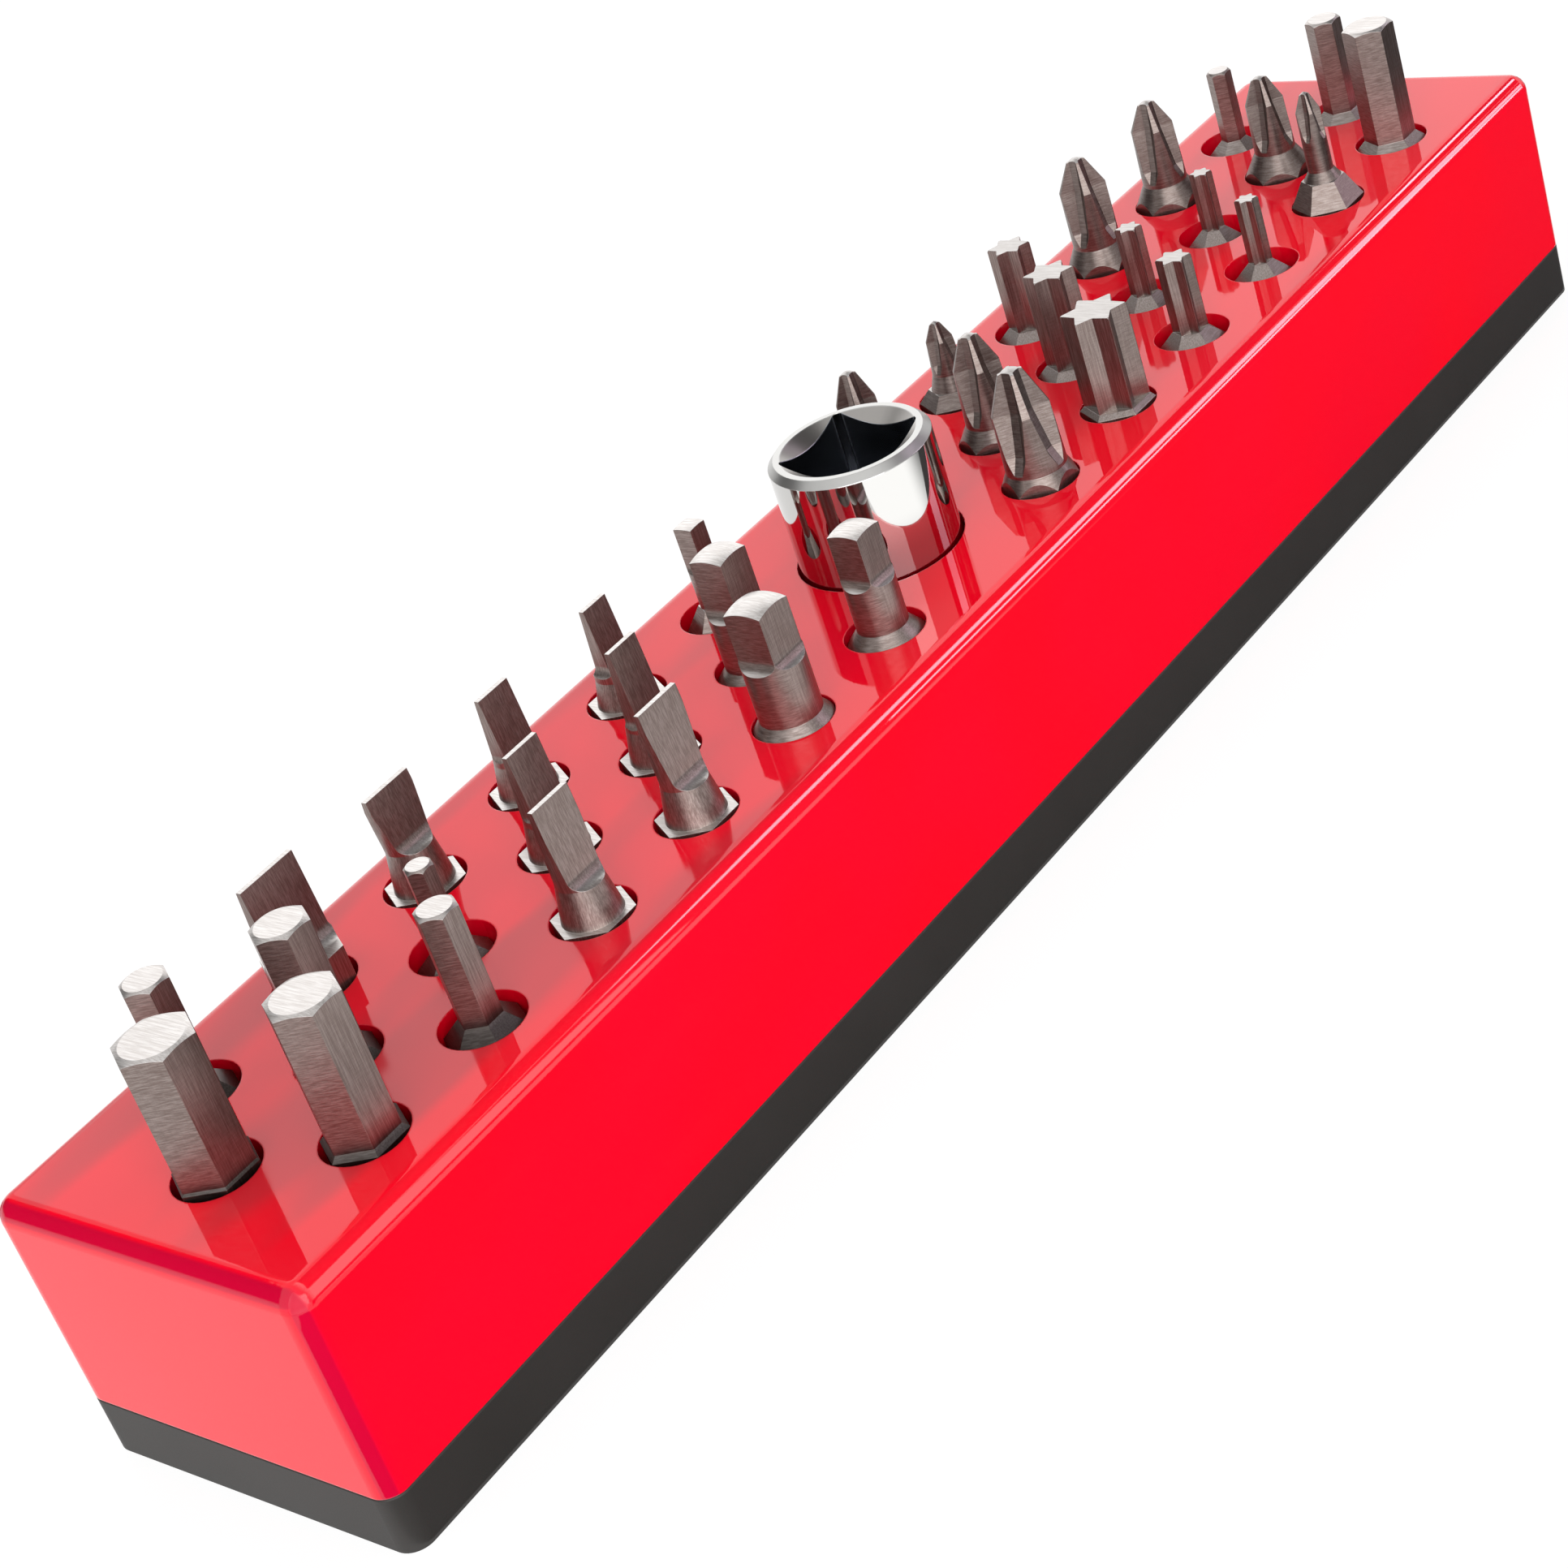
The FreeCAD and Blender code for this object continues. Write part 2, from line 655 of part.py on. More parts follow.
def square_bit(row, place):
    """A square bit above a round turned collar."""
    body = new_bit("square", row, place)
    size = "%s_%d_" % (row, place)
    neck = size + "neck"
    collar_bottom = "hole_depth - collar_depth"
    collar_top = "hole_depth + %scollar_tall" % size
    prism(body, polygon("shank_corner"), "0", collar_bottom)
    collar = [
        ("0", collar_bottom),
        ("collar_radius", collar_bottom),
        ("collar_radius", "%s - collar_slope * (collar_radius - %s)" % (collar_top, neck)),
        (neck, collar_top),
    ]
    square_end(body, size, collar)
    return body


def small_square_bit(row, place):
    """A small square bit above a six-sided shoulder."""
    body = new_bit("square", row, place)
    size = "%s_%d_" % (row, place)
    neck = size + "neck"
    corner = hex_corner("2 * %s" % neck)
    top = "hole_depth + %scollar_tall" % size
    tapered_shank(body, corner, "%s - shoulder_slope * (shank_corner - %s)" % (top, corner), top)
    square_end(body, size, [("0", "hole_depth"), (neck, "hole_depth")])
    return body


def flutes(body, half_root, bottom, bottom_root, top, top_root, length):
    """One stretch of a cross bit's V flutes. Their flat root lies bottom_root off the axis at the bottom and
    top_root at the top. The pocket cuts along its own slanting direction, so it isn't reversed."""
    reach = "shank_corner + overcut"
    section = loop_sketch(
        body,
        "XY_Plane",
        [
            (bottom_root, "-(%s)" % half_root),
            ("%s + %s" % (bottom_root, reach), "-(%s + %s)" % (half_root, reach)),
            ("%s + %s" % (bottom_root, reach), "%s + %s" % (half_root, reach)),
            (bottom_root, half_root),
        ],
        offset=bottom,
    )
    stretch = extrude(body, "Pocket", section, length)
    stretch.Reversed = False
    stretch.UseCustomVector = True
    stretch.Direction = FreeCAD.Vector(0, 0, 1)
    bind(stretch, ".Direction.x", "(%s - (%s)) / (%s - (%s))" % (top_root, bottom_root, top, bottom))
    ring_pattern(body, stretch, CROSS_FLUTES)


def cross_end(body, size, base):
    """A turned point with four V flutes that leave wings on the diagonals. base is the profile below the
    neck, as points from the axis outwards and up. Each flute starts with a ramp, and its root nears the axis
    towards the tip."""
    tip, wing, neck = (size + name for name in ("tip", "wing", "neck"))
    end = "hole_depth + %stall" % size
    wing_height = "hole_depth + %swing_tall" % size
    outline = base + [
        (neck, "hole_depth + %sneck_tall" % size),
        (wing, wing_height),
        (tip, end),
        ("0", end + " + tip_point"),
    ]
    turn(body, "Revolution", loop_sketch(body, "XZ_Plane", outline))

    half_root = "flute_share * " + tip
    tip_root = "root_share_tip * " + tip
    wing_root = "root_share_wing * " + wing
    ramp_root = "root_share_end * " + neck
    outer_root = neck + " + overcut"
    ramp_bottom = "hole_depth + %sflute_tall - tan(ramp_angle) * overcut" % size
    ramp_top = "hole_depth + %sflute_tall + tan(ramp_angle) * (%s - %s)" % (size, neck, ramp_root)
    ramp_length = "%s - (%s)" % (ramp_top, ramp_bottom)
    lower_length = "%s - (%s)" % (wing_height, ramp_top)
    past_the_tip = "2 * (%s - (%s))" % (end, wing_height)
    flutes(body, half_root, ramp_bottom, outer_root, ramp_top, ramp_root, ramp_length)
    flutes(body, half_root, ramp_top, ramp_root, wing_height, wing_root, lower_length)
    flutes(body, half_root, wing_height, wing_root, end, tip_root, past_the_tip)


def cross_bit(row, place):
    """A cross-head bit turned from the hex shank, so its neck flares out to the shank's corners."""
    body = new_bit("cross", row, place)
    size = "%s_%d_" % (row, place)
    neck = size + "neck"
    neck_tall = size + "neck_tall"
    neck_height = "hole_depth + " + neck_tall
    prism(body, polygon("shank_corner"), "0", neck_height)
    beyond = "(shank_corner + overcut)"
    flare = loop_sketch(
        body,
        "XZ_Plane",
        [
            (neck, neck_height),
            (beyond, "hole_depth - overcut * %s / (shank_corner - %s)" % (neck_tall, neck)),
            (beyond, neck_height + " + overcut"),
            (neck, neck_height + " + overcut"),
        ],
    )
    turn(body, "Groove", flare)
    cross_end(body, size, [("0", "hole_depth"), (neck, "hole_depth")])
    return body


def small_cross_bit(row, place):
    """A small cross-head bit on a tall six-sided shoulder, with a cone between the shoulder and the neck."""
    body = new_bit("cross", row, place)
    size = "%s_%d_" % (row, place)
    ring = size + "ring"
    ring_height = "hole_depth + %sring_tall" % size
    tapered_shank(body, ring, "hole_depth", ring_height)
    inner = hex_inner(ring)
    cross_end(body, size, [("0", "hole_depth"), (inner, "hole_depth"), (inner, ring_height)])
    return body


bodies = [holder_body(), base_plate(), drive_adapter()]
bodies += [magnet_strip(row) for row in ROWS]
bodies += [hex_bit(row, place) for row, place in HEX_BITS]
bodies += [slotted_bit(row, place) for row, place in SLOTTED_BITS]
bodies += [ground_slotted_bit(row, place) for row, place in GROUND_FROM_SHANK]
bodies += [square_bit(row, place) for row, place in SQUARE_BITS]
bodies += [small_square_bit(row, place) for row, place in SMALL_SQUARE_BITS]
bodies += [star_bit(row, place) for row, place in STAR_BITS]
bodies += [cross_bit(row, place) for row, place in CROSS_BITS]
bodies += [small_cross_bit(row, place) for row, place in SMALL_CROSS_BITS]
document.recompute()

for item in document.Objects:
    if "Invalid" in item.State or "Error" in item.State:
        raise RuntimeError("%s is not built: %s" % (item.Label, item.State))
for body in bodies:
    if body.Shape.isNull() or not body.Shape.isValid() or len(body.Shape.Solids) != 1:
        raise RuntimeError("%s is not one sound solid" % body.Label)
for body in bodies:
    body.Shape.exportStep("parts/%s.step" % body.Label)
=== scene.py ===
import math

import bpy
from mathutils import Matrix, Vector


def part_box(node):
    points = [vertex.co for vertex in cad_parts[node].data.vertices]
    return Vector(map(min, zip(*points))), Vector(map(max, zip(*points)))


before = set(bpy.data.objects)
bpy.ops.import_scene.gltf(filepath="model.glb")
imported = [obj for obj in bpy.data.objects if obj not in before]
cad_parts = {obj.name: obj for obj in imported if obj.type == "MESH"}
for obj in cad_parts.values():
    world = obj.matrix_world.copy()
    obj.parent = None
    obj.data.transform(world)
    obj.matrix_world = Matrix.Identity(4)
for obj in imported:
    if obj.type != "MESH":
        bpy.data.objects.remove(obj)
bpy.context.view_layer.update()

# A red bench holder for screwdriver bits on a dark base plate, with a chromed square-drive adapter in the
# middle and steel bits standing in round holes. Metres, +X along the block, -Y in front.

scene = bpy.context.scene
scene.view_settings.view_transform = "Standard"
MM = 0.001

# The block's front in metres, and the tops of block and adapter in millimetres
block_low, block_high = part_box("holder_body")
adapter_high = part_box("drive_adapter")[1]
BLOCK_FRONT = block_low[1]
BLOCK_TOP = block_high[2] / MM
RIM = adapter_high[2] / MM

# The drive adapter's socket, in millimetres: its lead-in cone's radius, half its square, where its
# corners begin, and how deep its square shows
CONE_MOUTH = 6.4
SOCKET_HALF = 4.765
SOCKET_CORNER = 3.9
SOCKET_DEPTH = 12

# From where to where a finish or a painted shade changes along the block, in millimetres from its middle
FILM_AND_SHADOW_EASES = -70, 0
FOOT_SHADE_EASE = -70, -50
CORNER_SHADE_REACH = 90, 94

# Colours as red, green and blue. Two together are mixed by a noise.
REDS = (0.90, 0.0, 0.014), (0.86, 0.0, 0.018)
# Deeper red of painted shade on the rounded end edges and corners
RED_PAINTED_SHADE = (0.44, 0.0, 0.03)
# Darker red of painted shadow in clouds on the top
RED_PAINTED_SHADOW = (0.42, 0.02, 0.03)
DARKS = (0.020, 0.018, 0.016), (0.028, 0.025, 0.023)
MAGNET_GREYS = (0.05, 0.05, 0.055), (0.09, 0.09, 0.095)
BARREL = (0.59, 0.585, 0.57)
# Darker chrome of painted shade at the barrel's foot
BARREL_PAINTED_SHADE = (0.42, 0.41, 0.41)
CONE = (0.45, 0.43, 0.41)
SOCKET_WALL = (0.50, 0.52, 0.56)
CORNER_STREAKS = (0.12, 0.13, 0.15), (0.85, 0.92, 1.0)
# Steel sides darkened as painted shade, and up-facing ends lightened as painted light
STEEL_SHADED_SIDES = (0.19, 0.145, 0.13), (0.335, 0.283, 0.262)
STEEL_LIT_ENDS = (0.62, 0.58, 0.555), (0.86, 0.83, 0.81)

# The gloss of the red block, as an index of refraction, and the film with its painted shadow on its left
# half against the right
FACE_GLOSS = 1.5
EDGE_GLOSS = 2.3
LEFT_FILM_AND_SHADOW = 1.7

# The strength of the surround where it only lights the object, against 1 where it is seen, and the floor's
# glow and how much of it shows
SURROUND = 0.9
FLOOR_GLOW = 1.12
FLOOR_SHOWN = 0.72

# The front sheet's brightness at its left, how much of it fades, and from where to where, in millimetres
SHEET_GLOW = 1.65
SHEET_FADE = 1.55
SHEET_FADES = 18, 70

# How high the reflection cards lie over the bench, and how far the floor lies under it
CARD_LIFT = 0.3 * MM
SHEET_LIFT = 0.6 * MM
FLOOR_DROP = 0.02 * MM

# The numbers of the Mix node's sockets for colours, which share their names with others
MIX_FACTOR, MIX_FIRST, MIX_SECOND = 0, 6, 7
MIX_RESULT = 2


class Flow:
    """A shader socket that can be added, multiplied and so on like a number."""

    def __init__(self, tree, socket):
        self.tree = tree
        self.socket = socket

    def math(self, operation, *others):
        return node(self.tree, "ShaderNodeMath", {"operation": operation}, [self, *others])

    def __add__(self, other):
        return self.math("ADD", other)

    def __radd__(self, other):
        return self.math("ADD", other)

    def __sub__(self, other):
        return self.math("SUBTRACT", other)

    def __rsub__(self, other):
        return node(self.tree, "ShaderNodeMath", {"operation": "SUBTRACT"}, [other, self])

    def __mul__(self, other):
        return self.math("MULTIPLY", other)

    def __rmul__(self, other):
        return self.math("MULTIPLY", other)

    def __abs__(self):
        return self.math("ABSOLUTE")

    def over(self, low, high):
        """0 below low, 1 above high, and smooth between them."""
        settings = {"interpolation_type": "SMOOTHSTEP"}
        values = {"Value": self, "From Min": low, "From Max": high}
        return node(self.tree, "ShaderNodeMapRange", settings, values)


def node(tree, kind, settings=None, inputs=None, output=0):
    """One node: its settings, then the values or links of its sockets. Returns one of its outputs."""
    made = tree.nodes.new(kind)
    for name, value in (settings or {}).items():
        setattr(made, name, value)
    pairs = inputs.items() if isinstance(inputs, dict) else enumerate(inputs or [])
    for name, value in pairs:
        if isinstance(value, Flow):
            tree.links.new(value.socket, made.inputs[name])
        else:
            made.inputs[name].default_value = value
    return Flow(tree, made.outputs[output]) if made.outputs else None


def mix(tree, factor, first, second):
    """Two colours mixed by a factor."""
    made = tree.nodes.new("ShaderNodeMix")
    made.data_type = "RGBA"
    for number, value in ((MIX_FACTOR, factor), (MIX_FIRST, first), (MIX_SECOND, second)):
        socket = made.inputs[number]
        if isinstance(value, Flow):
            tree.links.new(value.socket, socket)
        else:
            socket.default_value = value if isinstance(value, float) else (*value, 1)
    return Flow(tree, made.outputs[MIX_RESULT])


def new_material(name):
    """An empty material and its node tree."""
    material = bpy.data.materials.new(name)
    material.use_nodes = True
    material.node_tree.nodes.clear()
    return material, material.node_tree


def finish_material(tree, inputs):
    """The surface shader with its sockets, linked to the output."""
    surface = node(tree, "ShaderNodeBsdfPrincipled", {}, inputs)
    node(tree, "ShaderNodeOutputMaterial", {}, [surface])


def place_of(tree):
    """The point's place on the object, in millimetres, as a vector and its three parts."""
    place = node(tree, "ShaderNodeTexCoord", output="Object")
    scaled = node(tree, "ShaderNodeVectorMath", {"operation": "SCALE"}, {"Vector": place, "Scale": 1 / MM})
    split = tree.nodes.new("ShaderNodeSeparateXYZ")
    tree.links.new(scaled.socket, split.inputs[0])
    return scaled, [Flow(tree, output) for output in split.outputs]


def flat(tree, place):
    """The place with its height dropped."""
    return node(tree, "ShaderNodeVectorMath", {"operation": "MULTIPLY"}, [place, (1, 1, 0)])


def facing(tree):
    """How far the surface faces along X, Y and Z."""
    normal = node(tree, "ShaderNodeTexCoord", output="Normal")
    split = tree.nodes.new("ShaderNodeSeparateXYZ")
    tree.links.new(normal.socket, split.inputs[0])
    return [Flow(tree, output) for output in split.outputs]


def noise(tree, vector, stretch=(1, 1, 1), turn=(0, 0, 0), scale=1.0, detail=2.0, roughness=0.5):
    """Noise on stretched and turned coordinates, from 0 to 1."""
    mapped = node(tree, "ShaderNodeMapping", {}, {"Vector": vector, "Rotation": turn, "Scale": stretch})
    values = {"Vector": mapped, "Scale": scale, "Detail": detail, "Roughness": roughness}
    return node(tree, "ShaderNodeTexNoise", {}, values)


def bump(tree, height, distance, normal=None):
    """A bump by the height, as deep as the distance in millimetres, on top of another normal."""
    values = {"Height": height, "Distance": distance * MM, "Strength": 1.0}
    if normal is not None:
        values["Normal"] = normal
    return node(tree, "ShaderNodeBump", {}, values)


def soft_edges(tree, radius):
    """The normal with the edges rounded by a small radius, in millimetres."""
    return node(tree, "ShaderNodeBevel", {"samples": 6}, {"Radius": radius * MM})


def red_plastic():
    """Glossy moulded plastic with softened hole rims, a fine moulded skin and a light film of handling on
    the top, heavier at the left, where painted shadows also darken the red in soft clouds. Painted shade
    deepens the red on the rounded edges round both ends and on the corners, and the corners are duller.
    The long edges are polished, with a stronger gloss than the faces."""
    material, tree = new_material("red_plastic")
    place, (x, _, _) = place_of(tree)
    tint = noise(tree, place, scale=0.05, detail=1.0).over(0.3, 0.7)
    colour = mix(tree, tint, *REDS)
    skin = noise(tree, place, scale=1.4, detail=1.0)
    smear = noise(tree, place, (0.05, 0.3, 0.3), scale=1.0, detail=3.0).over(0.45, 0.8)
    nx, ny, nz = facing(tree)
    heavier = LEFT_FILM_AND_SHADOW - (LEFT_FILM_AND_SHADOW - 1) * x.over(*FILM_AND_SHADOW_EASES)
    cloud = noise(tree, place, (0.025, 0.11, 0.1), scale=1.0, detail=1.0).over(0.48, 0.66)
    # Painted shadow: darker clouds on the top, heavier at the left; the film also roughens it
    film_and_shadow = nz.over(0.9, 1.0) * heavier * cloud
    off_top = 1 - nz.over(0.9, 0.99)
    # Painted shade: the rounded end edges and the corners are deepened in colour
    shaded_end_edge = nz.over(0.15, 0.4) * off_top * abs(nx).over(0.2, 0.5)
    diagonal = abs(nx).over(0.3, 0.5) * abs(ny).over(0.3, 0.5)
    shaded_corner = diagonal * off_top * abs(x).over(*CORNER_SHADE_REACH)
    ball = shaded_corner * nz.over(0.1, 0.3)
    colour = mix(tree, shaded_end_edge.math("MAXIMUM", shaded_corner) * 0.8, colour, RED_PAINTED_SHADE)
    inputs = {
        "Base Color": mix(tree, film_and_shadow * 0.35, colour, RED_PAINTED_SHADOW),
        "Roughness": 0.025 + 0.045 * smear + 0.05 * film_and_shadow + 0.7 * ball,
        "Normal": bump(tree, skin, 0.0008, soft_edges(tree, 0.18)),
    }
    faces = node(tree, "ShaderNodeBsdfPrincipled", {}, {**inputs, "IOR": FACE_GLOSS})
    edges = node(tree, "ShaderNodeBsdfPrincipled", {}, {**inputs, "IOR": EDGE_GLOSS})
    along = abs(ny).over(0.1, 0.3) * (1 - abs(nx).over(0.05, 0.25))
    long_edge = nz.over(0.2, 0.35) * (1 - nz.over(0.94, 0.985)) * along
    surface = node(tree, "ShaderNodeMixShader", {}, [long_edge, faces, edges])
    node(tree, "ShaderNodeOutputMaterial", {}, [surface])
    return material


def dark_plastic():
    """Near-matte dark plastic with a fine spark-eroded grain."""
    material, tree = new_material("dark_plastic")
    place, _ = place_of(tree)
    grain = noise(tree, place, scale=7.0, detail=3.0)
    cloud = noise(tree, place, scale=0.12, detail=2.0)
    finish_material(tree, {
        "Base Color": mix(tree, cloud, *DARKS),
        "Roughness": 0.48 + 0.12 * grain,
        "Normal": bump(tree, grain, 0.006, soft_edges(tree, 0.1)),
    })
    return material


def magnet_grey():
    """Dull sintered magnet."""
    material, tree = new_material("magnet_grey")
    place, _ = place_of(tree)
    grain = noise(tree, place, scale=4.0, detail=4.0)
    finish_material(tree, {
        "Base Color": mix(tree, grain, *MAGNET_GREYS),
        "Metallic": 0.5,
        "Roughness": 0.6 + 0.2 * grain,
        "Normal": bump(tree, grain, 0.01),
    })
    return material


def chrome():
    """Mirror chrome, with a duller lead-in cone and rim chamfer. The walls of the square socket are
    darker, and drawn in streaks down its corners. Painted shade darkens the foot of the barrel."""
    material, tree = new_material("chrome")
    place, (x, y, z) = place_of(tree)
    _, _, nz = facing(tree)
    level_place = flat(tree, place)
    from_axis = node(tree, "ShaderNodeVectorMath", {"operation": "LENGTH"}, [level_place], "Value")
    above_floor = z.over(RIM - SOCKET_DEPTH, RIM - SOCKET_DEPTH + 1)
    below_rim = 1 - z.over(RIM - 0.08, RIM - 0.02)
    inside = (1 - from_axis.over(CONE_MOUTH - 0.10, CONE_MOUTH - 0.02)) * above_floor * below_rim
    farther, nearer = abs(x).math("MAXIMUM", abs(y)), abs(x).math("MINIMUM", abs(y))
    walls = inside * (1 - farther.over(SOCKET_HALF + 0.015, SOCKET_HALF + 0.035))
    corners = walls * nearer.over(SOCKET_CORNER, SOCKET_CORNER + 0.4)
    haze = noise(tree, place, scale=0.6, detail=2.0)
    streaks = noise(tree, place, (1, 1, 0.02), scale=2.5, detail=4.0).over(0.4, 0.62)
    cone = inside - walls
    chamfer = nz.over(0.2, 0.4) * (1 - nz.over(0.9, 0.97)) * (1 - inside)
    # Painted shade: the barrel is darker near the block's top
    shaded_foot = 1 - z.over(BLOCK_TOP + 2.0, BLOCK_TOP + 6.0)
    barrel = mix(tree, shaded_foot, BARREL, BARREL_PAINTED_SHADE)
    plate = mix(tree, walls, mix(tree, inside, barrel, CONE), SOCKET_WALL)
    drawn = mix(tree, streaks, *CORNER_STREAKS)
    duller = 0.26 * cone + 0.10 * walls + 0.30 * corners + 0.3 * chamfer
    finish_material(tree, {
        "Base Color": mix(tree, corners, plate, drawn),
        "Metallic": 1.0,
        "Roughness": 0.02 + 0.02 * haze + duller,
        "Normal": bump(tree, haze, 0.0006, soft_edges(tree, 0.12)),
    })
    return material


def toned(colours, tone):
    """Colours made lighter or darker."""
    return [tuple(part * tone for part in colour) for colour in colours]


def brushed_steel(name, left, right, shaded_side_tone=1.0, lit_end_tone=1.0, foot_shade_tone=1.0):
    """Ground tool steel. left and right give the grain on the faces turned to that side of the front
    corner: up the bit at 1 and round it at 0. Over the ends it runs slantwise. The sides are brown grey,
    darkened as painted shade, and what faces up is ground and painted lighter as painted light, each by
    its tone. At the left end, painted shade darkens the steel next to the holes."""
    material, tree = new_material(name)
    place, (x, _, z) = place_of(tree)
    nx, ny, nz = facing(tree)
    to_right = (0.87 * nx - 0.5 * ny).over(-0.25, 0.25)
    upright = left + (right - left) * to_right
    along = noise(tree, place, (1, 1, 0.04), scale=9.0, detail=4.0, roughness=0.65)
    across = noise(tree, place, (0.10, 0.10, 1), scale=9.0, detail=4.0, roughness=0.65)
    turn = 0, 0, math.radians(50)
    slant = noise(tree, place, (1, 0.06, 1), turn, scale=7.0, detail=4.0, roughness=0.65)
    side = along * upright + across * (1 - upright)
    on_end = nz.over(0.8, 0.9)
    grain = side * (1 - on_end) + slant * on_end
    lit_grain = grain.over(0.35, 0.7)
    # Painted light: sides take a shaded colour, and what faces up a lit one
    sides = mix(tree, lit_grain, *toned(STEEL_SHADED_SIDES, shaded_side_tone))
    ends = mix(tree, lit_grain, *toned(STEEL_LIT_ENDS, lit_end_tone))
    colour = mix(tree, nz.over(0.6, 0.97), sides, ends)
    # Painted shade: steel next to the holes at the left end is darkened
    if foot_shade_tone < 1.0:
        shaded_foot = (1 - z.over(BLOCK_TOP, BLOCK_TOP + 1.6)) * (1 - x.over(*FOOT_SHADE_EASE))
        colour = mix(tree, shaded_foot * (1 - foot_shade_tone), colour, (0.0, 0.0, 0.0))
    finish_material(tree, {
        "Base Color": colour,
        "Metallic": 0.95,
        "Roughness": 0.24 + 0.22 * grain,
        "Normal": bump(tree, grain, 0.012, soft_edges(tree, 0.07)),
    })
    return material


# The finish of each piece, by the first word of its name. Each family of bits has its own grain and its
# own tones of painted light and shade.
finishes = {
    "holder": red_plastic(),
    "base": dark_plastic(),
    "magnet": magnet_grey(),
    "drive": chrome(),
    "hex": brushed_steel("steel_hex", left=0.1, right=0.8, foot_shade_tone=0.25),
    "slotted": brushed_steel("steel_slotted", left=0.9, right=0.9),
    "square": brushed_steel("steel_square", left=0.05, right=0.75),
    "star": brushed_steel("steel_star", left=0.95, right=0.3, lit_end_tone=0.8),
    "cross": brushed_steel("steel_cross", left=0.2, right=0.5, shaded_side_tone=0.75, lit_end_tone=0.8),
}
for name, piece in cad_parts.items():
    piece.data.materials.clear()
    piece.data.materials.append(finishes[name.split("_")[0]])


def camera():
    """The camera at the photograph's place and angle."""
    data = bpy.data.cameras.new("camera")
    data.sensor_width = 36.0
    data.lens = 74.69
    data.clip_start = 0.01
    data.clip_end = 20.0
    made = bpy.data.objects.new("camera", data)
    made.location = (-0.19372, -0.18268, 0.15767)
    made.rotation_euler = [math.radians(angle) for angle in (58.687, 16.838, -53.321)]
    scene.collection.objects.link(made)
    scene.camera = made


def soft_lamp(name, place, aim, size, power):
    """A soft lamp of a width and height that points at a place."""
    data = bpy.data.lights.new(name, "AREA")
    data.shape = "RECTANGLE"
    data.size, data.size_y = size
    data.energy = power
    made = bpy.data.objects.new(name, data)
    made.location = place
    made.rotation_euler = (Vector(aim) - Vector(place)).to_track_quat("-Z", "Y").to_euler()
    scene.collection.objects.link(made)


def stage_sheet(name, corners, surface):
    """A sheet of the stage through four corners. surface makes its material's shader."""
    mesh = bpy.data.meshes.new(name)
    mesh.from_pydata(corners, [], [(0, 1, 2, 3)])
    sheet = bpy.data.objects.new(name, mesh)
    scene.collection.objects.link(sheet)
    material, tree = new_material(name)
    node(tree, "ShaderNodeOutputMaterial", {}, [surface(tree)])
    mesh.materials.append(material)
    return sheet


def shown_rays(tree):
    """1 where the camera, a mirror or glass sees the surface."""
    path = tree.nodes.new("ShaderNodeLightPath")
    names = "Is Camera Ray", "Is Glossy Ray", "Is Transmission Ray"
    seen, mirrored, through = (Flow(tree, path.outputs[name]) for name in names)
    return seen.math("MAXIMUM", mirrored).math("MAXIMUM", through)


def studio_world():
    """A pale grey surround, dimmer where it only lights the object than where it is seen."""
    world = bpy.data.worlds.new("studio")
    scene.world = world
    world.use_nodes = True
    tree = world.node_tree
    tree.nodes.clear()
    strength = SURROUND + (1 - SURROUND) * shown_rays(tree)
    light = node(tree, "ShaderNodeBackground", {}, {"Strength": strength})
    node(tree, "ShaderNodeOutputWorld", {}, [light])


def white_surface(tree):
    """White that shows most of its own glow and keeps a light shadow."""
    lit = node(tree, "ShaderNodeBsdfDiffuse", {}, {"Color": (0.85, 0.85, 0.85, 1)})
    glow = node(tree, "ShaderNodeEmission", {}, {"Strength": FLOOR_GLOW})
    return node(tree, "ShaderNodeMixShader", {}, [shown_rays(tree) * FLOOR_SHOWN, lit, glow])


def black_surface(tree):
    """Black card."""
    return node(tree, "ShaderNodeBsdfDiffuse", {}, {"Color": (0.07, 0.07, 0.07, 1)})


def bright_surface(strength):
    """A lit diffuser, a little on the pink side."""
    values = {"Color": (1, 0.84, 1, 1), "Strength": strength}
    return lambda tree: node(tree, "ShaderNodeEmission", {}, values)


def fading_surface(tree):
    """A bright sheet that fades away to the right."""
    _, (x, _, _) = place_of(tree)
    glow = SHEET_GLOW - SHEET_FADE * x.over(*SHEET_FADES)
    return node(tree, "ShaderNodeEmission", {}, {"Strength": glow})


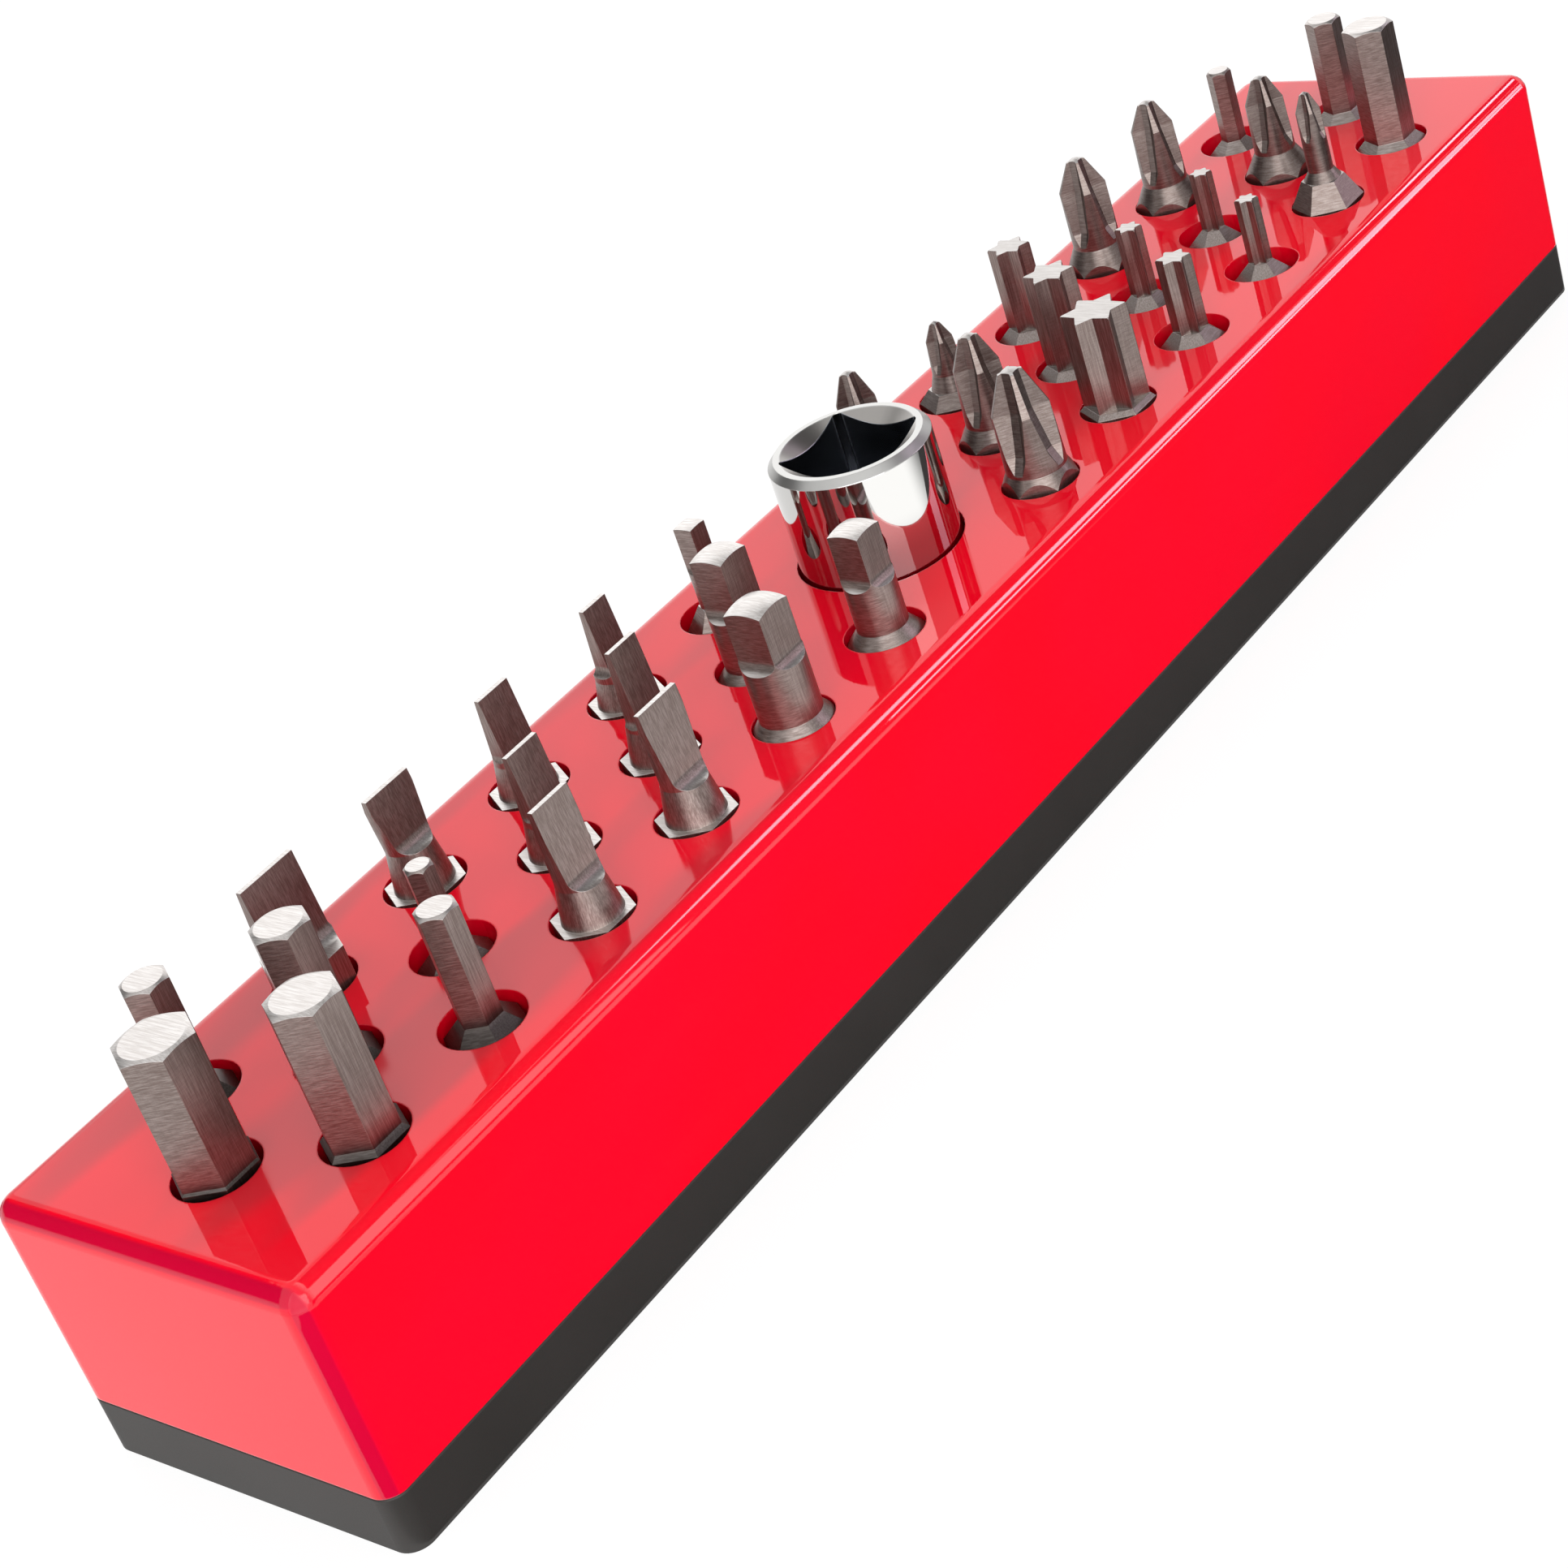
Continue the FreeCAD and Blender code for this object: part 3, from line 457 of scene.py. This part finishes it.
def reflected_card(name, corners, surface):
    """A card that only shows in reflections, as flags and diffusers do beside a glossy product."""
    card = stage_sheet(name, corners, surface)
    card.visible_camera = False
    card.visible_diffuse = False
    card.visible_shadow = False


def level(low, high, height):
    """The corners of a level rectangle."""
    outline = (low[0], low[1]), (high[0], low[1]), (high[0], high[1]), (low[0], high[1])
    return [(x, y, height) for x, y in outline]


def upright(start, end, low, high):
    """The corners of an upright rectangle over a line on the floor."""
    return [(*start, low), (*end, low), (*end, high), (*start, high)]


def strip(start, end, width):
    """The corners of a strip from one point to another, turned flat to the object."""
    start, end = Vector(start), Vector(end)
    side = (end - start).cross(start + end).normalized() * width / 2
    return [start - side, end - side, end + side, start + side]


camera()
studio_world()
stage_sheet("floor", level((-3, -3), (3, 3), -FLOOR_DROP), white_surface)
reflected_card("front_card", level((-0.13, -0.054), (0.25, BLOCK_FRONT), CARD_LIFT), black_surface)
reflected_card("low_card", level((-0.1, -1.0), (0.035, -0.115), CARD_LIFT), black_surface)
reflected_card("right_card", level((0.035, -1.0), (2.4, -0.054), CARD_LIFT), black_surface)
reflected_card("side_card", upright((0.6, -1.0), (2.4, -1.0), 0, 1.0), black_surface)
reflected_card("overhead_card", level((0.25, -0.9), (2.4, 0.36), 1.0), black_surface)
reflected_card("back_card", upright((-1.6, 1.3), (0.1, 1.3), 0.15, 1.3), black_surface)
upper = strip((0.50, -0.585, 0.64), (0.92, -0.59, 0.20), width=0.19)
lower = strip((0.60, -0.79, 0.125), (0.95, -0.57, 0.095), width=0.11)
far = strip((0.83, -0.10, 0.65), (1.0, -0.06, 0.62), width=0.14)
reflected_card("upper_strip", upper, bright_surface(strength=3.2))
reflected_card("lower_strip", lower, bright_surface(strength=4.0))
reflected_card("far_strip", far, bright_surface(strength=5.0))
reflected_card("front_sheet", level((-0.06, -0.115), (0.10, -0.056), SHEET_LIFT), fading_surface)
soft_lamp("key", (-0.62, -0.62, 0.28), (0, 0, 0.02), size=(1.1, 1.1), power=11.0)
soft_lamp("back", (0.6, 0.56, 0.44), (0, 0, 0.02), size=(0.9, 0.9), power=1.6)
